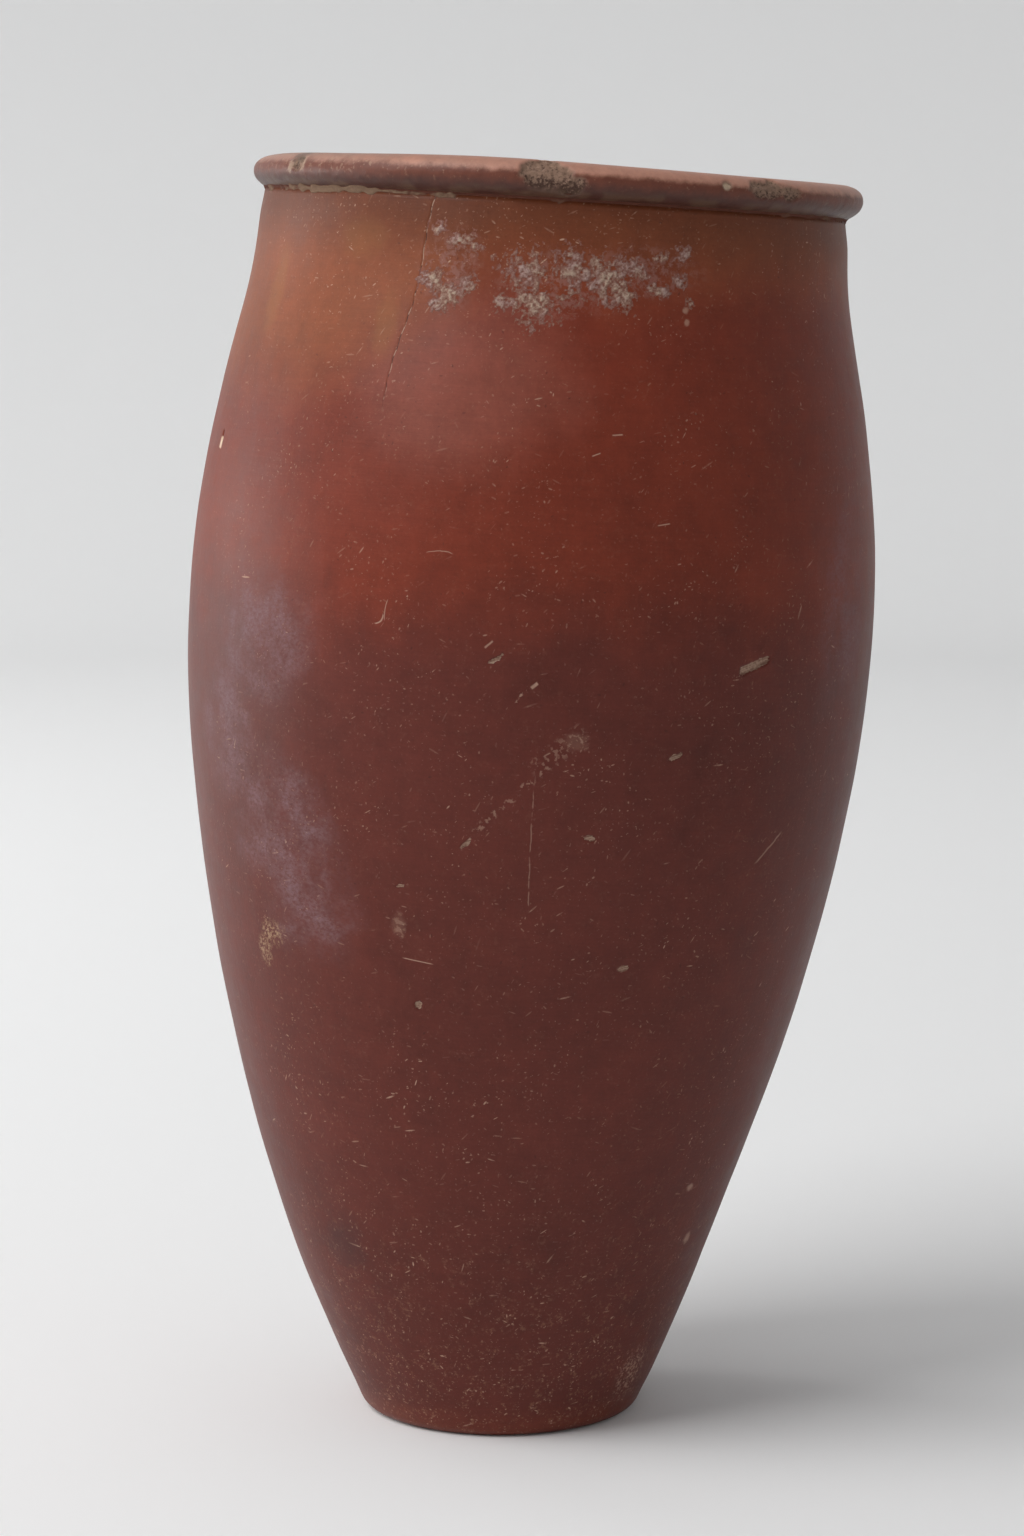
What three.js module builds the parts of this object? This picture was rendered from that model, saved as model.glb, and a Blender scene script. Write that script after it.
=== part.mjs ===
// A tall handle-less storage jar of hand-built, burnished red pottery: small flat base, ovoid body, short neck
// and a thick rolled rim, leaning a little to +X.
//
// Millimetres, +Z up. The origin is the centre of the flat underside.
//
// The jar was raised in stages and fired as one: a base pad, four rings of clay wall and a rim coil. Each stage
// meets the next on a slanting lap that climbs through the wall. Soil is packed in the groove under the rim, and
// two thin lime crusts sit on the front of the neck.
import * as THREE from "three";

// Body
const RIM_CREST = 300; // height of the rim's crest, along the axis
const UNDERSIDE_RADIUS = 31; // the flat resting face
const FOOT_CORNER = 3.5; // height of the rounded corner round the underside
const FLOOR = 9; // thickness of the floor
const FLOOR_FILLET_RADIUS = 12;
const FLOOR_FILLET_HEIGHT = 7;
const WALL_AT_FOOT = 8;
const WALL_AT_NECK = 6.2;
const NECK_HEIGHT = 288; // where the wall passes into the groove under the rim

// Outer surface of the wall, as radius and height
const WALL_OUTLINE = new THREE.SplineCurve([
  new THREE.Vector2(34.8, FOOT_CORNER),
  new THREE.Vector2(48.5, 36),
  new THREE.Vector2(61, 72),
  new THREE.Vector2(71, 108),
  new THREE.Vector2(78.1, 144),
  new THREE.Vector2(81.9, 180),
  new THREE.Vector2(81.4, 214),
  new THREE.Vector2(76.8, 245),
  new THREE.Vector2(71, 272),
  new THREE.Vector2(69.3, NECK_HEIGHT),
]);

// Rolled rim: a slightly flattened coil whose underside starts at an undercut groove
const LIP_HALF_WIDTH = 4.8;
const LIP_HALF_HEIGHT = 3.9;
const LIP_CENTRE_RADIUS = 67.4;
const GROOVE_RADIUS = 68.8;
const GROOVE_HEIGHT = 291.8;
const LIP_START = THREE.MathUtils.degToRad(-50);
const LIP_END = Math.PI;
const LIP_STEPS = 10;
const RIM_WAVE = 0.6; // the crest rises and dips by this, twice round the mouth
const WAVE_START = 293.5;

// Stages, by the height of the lap at the outer surface
const LAP_HEIGHTS = { base: 16, lower: 96, belly: 164, shoulder: 228, neck: 281 };
const LAP_RISE = 5; // the lap climbs by this from the outer surface to the inner one
const ROW_STEP = 11;
const SEGMENTS = 60;

// Lean: the axis stands upright, bends over BEND_LENGTH, then runs straight at LEAN_SLOPE towards +X
const BEND_START = 40;
const BEND_LENGTH = 53;
const LEAN_SLOPE = 0.058;

// Deposits
const CRUST_CLEARANCE = 0.25; // keeps a crust's flat back off the facets of the wall
const CRUST_THICKNESS = 0.9;
const CRUST_RINGS = 5;
const CRUST_SEGMENTS = 24;

const CLAY = { color: 0x7a3a2c, roughness: 0.5, metalness: 0 };
const RIM_CLAY = { color: 0x92583c, roughness: 0.55, metalness: 0 };
const SOIL = { color: 0x8d8570, roughness: 0.95, metalness: 0 };
const LIME = { color: 0xa08a80, roughness: 0.9, metalness: 0 };

const outlineSamples = WALL_OUTLINE.getPoints(360);

// Outer radius of the wall at a height.
function radiusAt(height) {
  const i = outlineSamples.findIndex((p) => p.y >= height);
  const upper = outlineSamples[i < 1 ? 1 : i];
  const lower = outlineSamples[i < 1 ? 0 : i - 1];
  const t = (height - lower.y) / (upper.y - lower.y);
  return THREE.MathUtils.lerp(lower.x, upper.x, t);
}

function outside(height) {
  return new THREE.Vector2(radiusAt(height), height);
}

function inside(height) {
  const wall = THREE.MathUtils.mapLinear(height, 0, NECK_HEIGHT, WALL_AT_FOOT, WALL_AT_NECK);
  return new THREE.Vector2(radiusAt(height) - wall, height);
}

// Points of one face of the wall from one height to another, both ends included.
function rows(from, to, face) {
  const steps = Math.max(1, Math.round(Math.abs(to - from) / ROW_STEP));
  return Array.from({ length: steps + 1 }, (_, i) => face(THREE.MathUtils.lerp(from, to, i / steps)));
}

// Points of an elliptical arc in the profile plane, both ends included.
function arc(centre, radiusX, radiusY, start, end, steps) {
  const curve = new THREE.EllipseCurve(centre.x, centre.y, radiusX, radiusY, start, end, end < start);
  return curve.getPoints(steps);
}

// Moves a geometry turned about a straight axis onto the leaning, slightly uneven jar.
function settle(geometry) {
  const position = geometry.getAttribute("position");
  for (let i = 0; i < position.count; i += 1) {
    const x = position.getX(i);
    const y = position.getY(i);
    const height = position.getZ(i);
    const along = THREE.MathUtils.clamp(height - BEND_START, 0, BEND_LENGTH);
    const slope = (LEAN_SLOPE * along) / BEND_LENGTH;
    const straight = Math.max(0, height - BEND_START - BEND_LENGTH);
    const shift = (slope * along) / 2 + LEAN_SLOPE * straight;
    const tilt = Math.atan(slope);
    const wave = RIM_WAVE * THREE.MathUtils.smoothstep(height, WAVE_START, RIM_CREST) * Math.sin(2 * Math.atan2(y, x));
    position.setXYZ(i, x * Math.cos(tilt) + shift, y, height - x * Math.sin(tilt) + wave);
  }
  geometry.computeVertexNormals();
  return geometry;
}

function part(name, geometry, finish) {
  const mesh = new THREE.Mesh(geometry, new THREE.MeshStandardMaterial(finish));
  mesh.name = name;
  return mesh;
}

// A body turned from a profile of radius and height.
function turned(name, profile, finish) {
  const geometry = new THREE.LatheGeometry(profile, SEGMENTS);
  geometry.rotateX(Math.PI / 2);
  return part(name, settle(geometry), finish);
}

// A ring of wall between two laps.
function wallRing(name, bottom, top) {
  const outer = rows(bottom, top, outside);
  const inner = rows(top + LAP_RISE, bottom + LAP_RISE, inside);
  return turned(name, [...outer, ...inner, outer[0].clone()], CLAY);
}

function basePad() {
  const lap = LAP_HEIGHTS.base;
  const wallCorner = outside(FOOT_CORNER);
  const cornerCentre = new THREE.Vector2(UNDERSIDE_RADIUS, FOOT_CORNER);
  const corner = arc(cornerCentre, wallCorner.x - UNDERSIDE_RADIUS, FOOT_CORNER, -Math.PI / 2, 0, 4);
  const filletTop = inside(FLOOR + FLOOR_FILLET_HEIGHT);
  const filletCentre = new THREE.Vector2(filletTop.x - FLOOR_FILLET_RADIUS, filletTop.y);
  const fillet = arc(filletCentre, FLOOR_FILLET_RADIUS, FLOOR_FILLET_HEIGHT, 0, -Math.PI / 2, 5);
  const profile = [
    new THREE.Vector2(0, 0),
    ...corner.slice(0, -1),
    ...rows(FOOT_CORNER, lap, outside),
    inside(lap + LAP_RISE),
    ...fillet,
    new THREE.Vector2(0, FLOOR),
  ];
  return turned("base_pad", profile, CLAY);
}

// The lip's rounded face from its underside, over the crest, to the mouth.
function lipFace() {
  const centre = new THREE.Vector2(LIP_CENTRE_RADIUS, RIM_CREST - LIP_HALF_HEIGHT);
  return arc(centre, LIP_HALF_WIDTH, LIP_HALF_HEIGHT, LIP_START, LIP_END, LIP_STEPS);
}

function rimCoil() {
  const lap = LAP_HEIGHTS.neck;
  const profile = [
    outside(lap),
    outside(NECK_HEIGHT),
    new THREE.Vector2(GROOVE_RADIUS, GROOVE_HEIGHT),
    ...lipFace(),
    inside(lap + LAP_RISE),
    outside(lap),
  ];
  return turned("rim_coil", profile, RIM_CLAY);
}

// Soil that fills the groove, from the neck to the underside of the lip.
function grooveSoil() {
  const foot = outside(NECK_HEIGHT);
  const top = lipFace()[0];
  const profile = [
    foot,
    new THREE.Vector2(top.x - 0.2, GROOVE_HEIGHT - 1),
    top,
    new THREE.Vector2(GROOVE_RADIUS, GROOVE_HEIGHT),
    foot.clone(),
  ];
  return turned("groove_soil", profile, SOIL);
}

// A thin lens of lime on the wall. The bearing turns from +X, and the front of the jar is at -90 degrees.
function limeCrust(name, bearing, height, halfWidth, halfHeight) {
  const back = Array.from({ length: CRUST_RINGS }, (_, i) => new THREE.Vector2(i / CRUST_RINGS, 0));
  const dome = arc(new THREE.Vector2(0, 0), 1, 1, 0, Math.PI / 2, CRUST_RINGS);
  const geometry = new THREE.LatheGeometry([...back, ...dome], CRUST_SEGMENTS);
  const position = geometry.getAttribute("position");
  for (let i = 0; i < position.count; i += 1) {
    const up = height + position.getX(i) * halfHeight;
    const turn = bearing + (position.getZ(i) * halfWidth) / radiusAt(height);
    const radius = radiusAt(up) + CRUST_CLEARANCE + position.getY(i) * CRUST_THICKNESS;
    position.setXYZ(i, radius * Math.cos(turn), radius * Math.sin(turn), up);
  }
  return part(name, settle(geometry), LIME);
}

const jar = new THREE.Group();
jar.add(
  basePad(),
  wallRing("lower_wall", LAP_HEIGHTS.base, LAP_HEIGHTS.lower),
  wallRing("belly_wall", LAP_HEIGHTS.lower, LAP_HEIGHTS.belly),
  wallRing("shoulder_wall", LAP_HEIGHTS.belly, LAP_HEIGHTS.shoulder),
  wallRing("neck_wall", LAP_HEIGHTS.shoulder, LAP_HEIGHTS.neck),
  rimCoil(),
  grooveSoil(),
  limeCrust("lime_crust_front", THREE.MathUtils.degToRad(-83), 274, 22, 7),
  limeCrust("lime_crust_left", THREE.MathUtils.degToRad(-113), 275, 8, 9),
);

export default jar;
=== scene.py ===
"""The finished look of a handle-less, burnished red jar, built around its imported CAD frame.

The jar is first made upright, in millimetres, as a bearing from the front, a height and a radius. settle()
then leans it as the CAD part leans, and the meshes are stored in metres.
"""

import itertools
import math

import bpy
import numpy as np
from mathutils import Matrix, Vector


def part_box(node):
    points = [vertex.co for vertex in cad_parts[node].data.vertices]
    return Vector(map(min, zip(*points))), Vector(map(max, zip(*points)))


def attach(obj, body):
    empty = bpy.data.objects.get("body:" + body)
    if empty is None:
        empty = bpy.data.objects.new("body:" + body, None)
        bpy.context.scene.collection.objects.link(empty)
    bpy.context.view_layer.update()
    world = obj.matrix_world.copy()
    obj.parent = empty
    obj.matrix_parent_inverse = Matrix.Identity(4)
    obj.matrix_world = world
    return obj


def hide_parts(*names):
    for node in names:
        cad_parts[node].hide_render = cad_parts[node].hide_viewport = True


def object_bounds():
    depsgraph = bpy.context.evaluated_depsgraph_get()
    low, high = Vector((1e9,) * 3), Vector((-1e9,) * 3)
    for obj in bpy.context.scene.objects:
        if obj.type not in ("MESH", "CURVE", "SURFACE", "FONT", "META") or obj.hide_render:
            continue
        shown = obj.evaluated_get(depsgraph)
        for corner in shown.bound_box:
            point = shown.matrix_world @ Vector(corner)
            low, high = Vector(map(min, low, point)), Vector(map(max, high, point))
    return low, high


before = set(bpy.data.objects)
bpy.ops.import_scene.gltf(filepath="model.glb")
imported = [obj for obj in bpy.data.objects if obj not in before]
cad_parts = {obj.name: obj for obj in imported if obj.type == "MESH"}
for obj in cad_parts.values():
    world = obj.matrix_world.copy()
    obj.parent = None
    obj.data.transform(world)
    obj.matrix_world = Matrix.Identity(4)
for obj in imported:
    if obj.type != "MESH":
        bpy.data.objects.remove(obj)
cad_low, cad_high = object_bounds()

MM = 0.001

# ---------------------------------------------------------------- sizes, in millimetres
# They are those of the CAD part, apart from two outlines: the edge of the foot is rounder here, and the lip
# is drawn from listed points where the CAD coil is an ellipse.
UNDERSIDE_RADIUS = 30.4
FOOT_CORNER = 4.4  # radius of the round edge of the foot
FOOT_SLOPE = math.radians(23)  # how far the wall leans outward just above the foot
FLOOR = 9.0
WALL_AT_FOOT, WALL_AT_NECK = 8.0, 6.2
NECK_HEIGHT = 288.0
WALL_OUTLINE = [
    (34.45, 2.68),
    (48.5, 36),
    (61.0, 72),
    (71.0, 108),
    (78.1, 144),
    (81.9, 180),
    (81.4, 214),
    (76.8, 245),
    (71.0, 272),
    (69.3, NECK_HEIGHT),
]
GROOVE = (68.8, 291.8)
LIP_OUTLINE = [
    GROOVE,
    (70.2, 292.6),
    (71.5, 294.0),
    (72.2, 296.0),
    (71.8, 297.9),
    (70.4, 299.2),
    (68.4, 299.9),
    (66.4, 300.0),
    (64.4, 299.3),
    (62.9, 297.6),
    (62.5, 295.0),
    (62.9, 289.0),
    (63.3, 284.0),
]
BEND_START, BEND_LENGTH, LEAN_SLOPE = 40.0, 53.0, 0.058
RIM_CREST = 300.0
RIM_WAVE, WAVE_START = 0.6, 293.5


# ---------------------------------------------------------------- shape helpers
def smooth(t):
    """0 to 1 in an even S, held at both ends."""
    t = np.clip(t, 0.0, 1.0)
    return t * t * (3 - 2 * t)


def spline(knots, steps=24):
    """Points on a smooth curve through knots, by Catmull and Rom's rule."""
    p = np.array(knots, float)
    p = np.vstack([p[:1], p, p[-1:]])
    t = np.linspace(0, 1, steps, endpoint=False)[:, None]
    parts = []
    for a, b, c, d in zip(p[:-3], p[1:-2], p[2:-1], p[3:]):
        slope_b, slope_c = (c - a) / 2, (d - b) / 2
        parts.append(
            (2 * t**3 - 3 * t**2 + 1) * b
            + (t**3 - 2 * t**2 + t) * slope_b
            + (3 * t**2 - 2 * t**3) * c
            + (t**3 - t**2) * slope_c
        )
    return np.vstack([*parts, p[-1:]])


def evenly(curve, count):
    """count points at equal steps along a curve, both ends included."""
    curve = np.asarray(curve, float)
    run = np.r_[0, np.cumsum(np.hypot(*np.diff(curve, axis=0).T))]
    at = np.linspace(0, run[-1], count)
    return np.stack([np.interp(at, run, curve[:, k]) for k in (0, 1)], 1)


def with_fine_lines(even, centre, reach, step):
    """The even values, with closer ones in place of those within reach of a centre."""
    away = np.abs(even - centre) > reach + step
    return np.sort(np.r_[even[away], np.arange(centre - reach, centre + reach, step)])


wall_curve = spline(WALL_OUTLINE)


def radius_at(height):
    """Outer radius of the plain wall."""
    return np.interp(height, wall_curve[:, 1], wall_curve[:, 0])


def inner_radius_at(height):
    thickness = np.interp(height, (0, NECK_HEIGHT), (WALL_AT_FOOT, WALL_AT_NECK))
    return radius_at(height) - thickness


def settle(upright):
    """Moves upright points onto the leaning jar, exactly as the CAD part is leaned."""
    x, y, height = np.moveaxis(upright, -1, 0)
    along = np.clip(height - BEND_START, 0, BEND_LENGTH)
    slope = LEAN_SLOPE * along / BEND_LENGTH
    straight = np.maximum(0, height - BEND_START - BEND_LENGTH)
    shift = slope * along / 2 + LEAN_SLOPE * straight
    tilt = np.arctan(slope)
    crest = smooth((height - WAVE_START) / (RIM_CREST - WAVE_START))
    wave = RIM_WAVE * crest * np.sin(2 * np.arctan2(y, x))
    return np.stack([x * np.cos(tilt) + shift, y, height - x * np.sin(tilt) + wave], -1)


def turned(bearings, profile):
    """Bearing, height and radius over a grid: a profile in rows, turned through the bearings in columns."""
    bearing, height = np.meshgrid(bearings, profile[:, 1])
    return bearing, height, np.repeat(profile[:, :1], len(bearings), 1)


def away_from(bearing, degrees):
    """Radians from a bearing given in degrees, by the shorter way round."""
    return (bearing - math.radians(degrees) + math.pi) % (2 * math.pi) - math.pi


def around(bearing, radius, height):
    """Upright points from bearings in radians, 0 at the front and positive to the right."""
    return np.stack([radius * np.sin(bearing), -radius * np.cos(bearing), height], -1)


def scattered(cell, seed):
    """A fixed pseudo-random number from -1 to 1 for each lattice cell."""
    mix = cell[..., 0] * 73856093 ^ cell[..., 1] * 19349663 ^ cell[..., 2] * 83492791 ^ seed * 2971215073
    mix = (mix ^ mix >> 13) * 1274126177 & 0x7FFFFFFF
    return (mix >> 8 & 0xFFFF) / 32767.5 - 1.0


def noise(points, lump, seed, octaves=2):
    """Smooth noise from -1 to 1, with lumps of about the given size."""
    total = np.zeros(points.shape[:-1])
    strength, whole = 1.0, 0.0
    for octave in range(octaves):
        p = points / lump * 2**octave + 31.7 * octave
        cell = np.floor(p).astype(np.int64)
        t = p - cell
        t = t * t * (3 - 2 * t)
        value = 0.0
        for corner in itertools.product((0, 1), repeat=3):
            weight = np.prod(np.where(corner, t, 1 - t), -1)
            value = value + weight * scattered(cell + np.array(corner), seed + octave)
        total += value * strength
        whole += strength
        strength *= 0.5
    return total / whole * 1.6


def skin(name, upright, closed_rows=False, start=None, end=None, keep=None, turns=True):
    """A mesh from a grid of upright points: rows along the profile, columns round the jar.

    start and end are single upright points that close the first and last row on the axis. keep marks the
    faces that stay. The points are also kept on the mesh as the attribute "upright", for the materials.
    """
    rows, columns = upright.shape[:2]
    points = upright.reshape(-1, 3)
    i = np.arange(rows if closed_rows else rows - 1)[:, None]
    j = np.arange(columns if turns else columns - 1)[None, :]
    i2, j2 = (i + 1) % rows, (j + 1) % columns
    quads = np.stack(
        [i * columns + j, i * columns + j2, i2 * columns + j2, i2 * columns + j], -1
    )
    faces = (quads[keep] if keep is not None else quads.reshape(-1, 4)).tolist()
    ring = np.arange(columns)
    if start is not None:
        points = np.vstack([points, [start]])
        faces += [[len(points) - 1, int((k + 1) % columns), int(k)] for k in ring]
    if end is not None:
        points = np.vstack([points, [end]])
        last = (rows - 1) * columns
        faces += [[len(points) - 1, int(last + k), int(last + (k + 1) % columns)] for k in ring]
    mesh = bpy.data.meshes.new(name)
    mesh.from_pydata((settle(points) * MM).tolist(), [], faces)
    mesh.attributes.new("upright", "FLOAT_VECTOR", "POINT").data.foreach_set(
        "vector", points.astype(np.float32).ravel()
    )
    mesh.polygons.foreach_set("use_smooth", np.ones(len(mesh.polygons), bool))
    mesh.validate()
    mesh.update()
    piece = bpy.data.objects.new(name, mesh)
    bpy.context.scene.collection.objects.link(piece)
    return piece


def keep_value(piece, name, values):
    """Keeps one number for each grid point on a mesh, for the materials. Closing points get 0."""
    kept = np.zeros(len(piece.data.vertices), np.float32)
    kept[: values.size] = values.ravel()
    piece.data.attributes.new(name, "FLOAT", "POINT").data.foreach_set("value", kept)


# ---------------------------------------------------------------- camera
CAMERA_HEIGHT = 0.277
CAMERA_DISTANCE = 0.955
CAMERA_ASIDE = 0.0028  # to the right of the foot's centre
CAMERA_PITCH = math.radians(7.18)  # below the horizon
LENS_MM, SENSOR_MM = 93.3, 36

axis_x = (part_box("base_pad")[0].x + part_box("base_pad")[1].x) / 2
camera_data = bpy.data.cameras.new("camera")
camera_data.lens = LENS_MM
camera_data.sensor_width = SENSOR_MM
camera_data.clip_start = 0.01
camera = bpy.data.objects.new("camera", camera_data)
camera.location = (axis_x + CAMERA_ASIDE, -CAMERA_DISTANCE, cad_low.z + CAMERA_HEIGHT)
camera.rotation_euler = (math.pi / 2 - CAMERA_PITCH, 0, 0)
bpy.context.scene.collection.objects.link(camera)
bpy.context.scene.camera = camera
bpy.context.scene.view_settings.view_transform = "Standard"


# ---------------------------------------------------------------- material helper
POTTERY_IOR = 1.45


class Wire:
    """One output of a node, with arithmetic that adds Math nodes."""

    def __init__(self, ink, socket):
        self.ink, self.socket = ink, socket

    def __add__(self, other):
        return self.ink.calc("ADD", self, other)

    def __sub__(self, other):
        return self.ink.calc("SUBTRACT", self, other)

    def __mul__(self, other):
        return self.ink.calc("MULTIPLY", self, other)

    def __truediv__(self, other):
        return self.ink.calc("DIVIDE", self, other)

    __radd__, __rmul__ = __add__, __mul__


class Ink:
    """A material whose nodes are added by short calls. Lengths are millimetres on the upright jar."""

    def __init__(self, name):
        self.material = bpy.data.materials.new(name)
        self.material.use_nodes = True
        self.tree = self.material.node_tree
        self.shader = self.tree.nodes["Principled BSDF"]
        place = self.node("ShaderNodeAttribute", attribute_name="upright")
        self.place = Wire(self, place.outputs["Vector"])
        self.x, self.y, self.height = self.split(self.place)
        self.bearing = self.calc("ARCTAN2", self.x, self.y * -1)
        self.radius = self.calc("SQRT", self.x * self.x + self.y * self.y)
        self.rightward = self.x / self.radius

    def kept(self, name):
        """The number kept on the mesh under a name."""
        return Wire(self, self.node("ShaderNodeAttribute", attribute_name=name).outputs["Fac"])

    def sine(self, angle):
        return self.calc("SINE", angle)

    def node(self, kind, **settings):
        made = self.tree.nodes.new(kind)
        for key, value in settings.items():
            setattr(made, key, value)
        return made

    def feed(self, socket, value):
        if isinstance(value, Wire):
            self.tree.links.new(value.socket, socket)
        else:
            socket.default_value = value

    def calc(self, operation, *values, clamp=False):
        made = self.node("ShaderNodeMath", operation=operation, use_clamp=clamp)
        for socket, value in zip(made.inputs, values):
            self.feed(socket, value)
        return Wire(self, made.outputs[0])

    def split(self, vector):
        made = self.node("ShaderNodeSeparateXYZ")
        self.feed(made.inputs[0], vector)
        return [Wire(self, o) for o in made.outputs]

    def join(self, x, y, z):
        made = self.node("ShaderNodeCombineXYZ")
        for socket, value in zip(made.inputs, (x, y, z)):
            self.feed(socket, value)
        return Wire(self, made.outputs[0])

    def stretched(self, x, y, z):
        """The place with each axis scaled."""
        return self.vector("MULTIPLY", self.place, (x, y, z))

    def vector(self, operation, first, second):
        made = self.node("ShaderNodeVectorMath", operation=operation)
        self.feed(made.inputs[0], first)
        self.feed(made.inputs[1], second)
        return Wire(self, made.outputs[0])

    def shifted(self, at, seed):
        """A place moved far off, so that patterns with different seeds don't line up."""
        return self.vector("ADD", at or self.place, (97 * seed, 61 * seed, 43 * seed))

    def noise(self, lump, detail=2.0, roughness=0.5, at=None, seed=0.0):
        """Noise from 0 to 1, mostly 0.3 to 0.7, with lumps of the given size."""
        made = self.node("ShaderNodeTexNoise", noise_dimensions="3D")
        self.feed(made.inputs["Vector"], self.shifted(at, seed))
        made.inputs["Scale"].default_value = 1.0 / lump
        made.inputs["Detail"].default_value = detail
        made.inputs["Roughness"].default_value = roughness
        return Wire(self, made.outputs["Fac"])

    def step(self, value, low, high, smooth_ends=True):
        """0 where value is under low and 1 where it is over high. low may be the larger one."""
        made = self.node("ShaderNodeMapRange")
        made.interpolation_type = "SMOOTHSTEP" if smooth_ends else "LINEAR"
        falling = low > high
        self.feed(made.inputs["Value"], value)
        made.inputs["From Min"].default_value = min(low, high)
        made.inputs["From Max"].default_value = max(low, high)
        made.inputs["To Min"].default_value = 1.0 if falling else 0.0
        made.inputs["To Max"].default_value = 0.0 if falling else 1.0
        return Wire(self, made.outputs[0])

    def mix(self, share, first, second):
        """first turning into second as share goes from 0 to 1, as colours."""
        made = self.node("ShaderNodeMix", data_type="RGBA", clamp_factor=True)
        self.feed(made.inputs["Factor"], share)
        for socket, value in ((made.inputs[6], first), (made.inputs[7], second)):
            self.feed(socket, value if isinstance(value, Wire) else (*value, 1.0))
        return Wire(self, made.outputs[2])

    def scaled(self, colour, factor):
        made = self.node("ShaderNodeVectorMath", operation="SCALE")
        self.feed(made.inputs[0], colour)
        self.feed(made.inputs["Scale"], factor)
        return Wire(self, made.outputs[0])

    def offsets(self, bearing, height):
        """Millimetres along the surface, to the right and up, from a place on the wall."""
        return (self.bearing - math.radians(bearing)) * self.radius, self.height - height

    def blot(self, bearing, height, half_width, half_height, ragged=0.0, lump=6.0, seed=0.0):
        """1 in the middle of an oval place on the wall, 0 on its edge and outside."""
        u, v = self.offsets(bearing, height)
        u, v = u / half_width, v / half_height
        reach = self.calc("SQRT", u * u + v * v)
        if ragged:
            reach = reach + (self.noise(lump, 4, 0.6, seed=seed) - 0.5) * ragged
        return self.step(reach, 1.0, 0.35)

    def along(self, bearing, height, slant):
        """Millimetres along and across a line through a place on the wall, slanting up to the right."""
        u, v = self.offsets(bearing, height)
        c, s = math.cos(math.radians(slant)), math.sin(math.radians(slant))
        return u * c + v * s, v * c - u * s

    def stroke(self, bearing, height, length, width, slant, bow=0.0, ragged=0.0, seed=0.0):
        """1 on a scratch or fibre centred on a place on the wall. bow is how far its middle rises."""
        run, off = self.along(bearing, height, slant)
        if bow:
            off = off + run * run * (4 * bow / length**2) - bow
        if ragged:
            off = off + (self.noise(2.5, 2, seed=seed) - 0.5) * ragged
        run, off = self.calc("ABSOLUTE", run), self.calc("ABSOLUTE", off)
        return self.step(off, width * 0.75, width * 0.25) * self.step(run, length * 0.52, length * 0.36)

    def flecks(self, spacing, length, width, share, slant=0.0, spread=math.pi, seed=0.0):
        """Scattered short fibres in the surface, one in a cell, in a share of cells of the given spacing.

        slant is their usual angle and spread how far they turn from it, in radians.
        """
        place = self.shifted(None, seed)
        cells = self.node("ShaderNodeTexVoronoi", voronoi_dimensions="3D")
        self.feed(cells.inputs["Vector"], place)
        cells.inputs["Scale"].default_value = 1.0 / spacing
        dx, dy, dz = self.split(self.vector("SUBTRACT", place, Wire(self, cells.outputs["Position"])))
        sideways = (dy * self.x - dx * self.y) / self.radius
        chance = self.node("ShaderNodeSeparateColor")
        self.tree.links.new(cells.outputs["Color"], chance.inputs[0])
        pick, turn, size = (Wire(self, o) for o in chance.outputs)
        angle = (turn - 0.5) * (2 * spread) + slant
        c, s = self.calc("COSINE", angle), self.sine(angle)
        size = size * size * 1.1 + 0.45
        run = (sideways * c + dz * s) / (size * length)
        off = (dz * c - sideways * s) / (size * width)
        reach = self.calc("SQRT", run * run + off * off)
        return self.step(reach, 0.62, 0.34) * self.step(pick, share, share * 0.2, False)

    def bump(self, height_mm):
        """A normal bent by a relief given in millimetres."""
        made = self.node("ShaderNodeBump")
        made.inputs["Distance"].default_value = MM
        made.inputs["Strength"].default_value = 1.0
        self.feed(made.inputs["Height"], height_mm)
        return Wire(self, made.outputs[0])

    def finish(self, colour, roughness, normal, specular=0.25):
        """Feeds the shader and gives the finished material."""
        self.feed(self.shader.inputs["Base Color"], colour)
        self.feed(self.shader.inputs["Roughness"], roughness)
        self.feed(self.shader.inputs["Normal"], normal)
        self.shader.inputs["IOR"].default_value = POTTERY_IOR
        self.shader.inputs["Specular IOR Level"].default_value = specular
        return self.material


def most(*masks):
    """The largest of several masks at each point."""
    top = masks[0]
    for mask in masks[1:]:
        top = top.ink.calc("MAXIMUM", top, mask)
    return top


# ---------------------------------------------------------------- jar wall
COLUMNS = 480
OUTER_ROWS = 180
INNER_ROWS = 44
FINE_STEP = 0.35  # spacing of the extra lines of the mesh, through the voids
VOIDS = [  # bearing in degrees, height, half length, half width, slant in degrees, depth, straight ends
    (38.0, 191.0, 4.6, 0.95, 17, 0.5, True),
    (-70.6, 233.9, 1.3, 0.75, 84, 1.3, False),
    (24.3, 170.5, 2.3, 0.5, 24, 0.3, False),
    (-9.0, 148.7, 1.3, 0.45, 42, 0.3, False),
    (-5.4, 190.8, 1.7, 0.6, 30, 0.3, False),
    (10.8, 151.6, 1.6, 0.7, -14, 0.3, False),
    (-20.2, 137.6, 1.2, 0.5, 8, 0.25, False),
    (-17.0, 110.2, 1.1, 0.9, 60, 0.4, False),
    (19.4, 121.2, 1.4, 0.7, 10, 0.3, False),
    (150.0, 205.0, 4.6, 1.0, -24, 0.6, True),
    (-148.0, 172.0, 3.8, 0.9, 30, 0.5, False),
    (112.0, 128.0, 3.0, 0.9, 12, 0.5, False),
    (-121.0, 96.0, 3.4, 1.0, -38, 0.5, True),
]
CRACK_FOOT, CRACK_TOP = 242.0, 291.8  # heights of the hairline crack's ends
CRACK_BEARING = -28.4  # of its foot, in degrees
CRACK_LEAN = 0.108  # degrees to the right for each millimetre up
CRACK_DEPTH, CRACK_HALF_WIDTH = 0.14, 0.26
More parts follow.
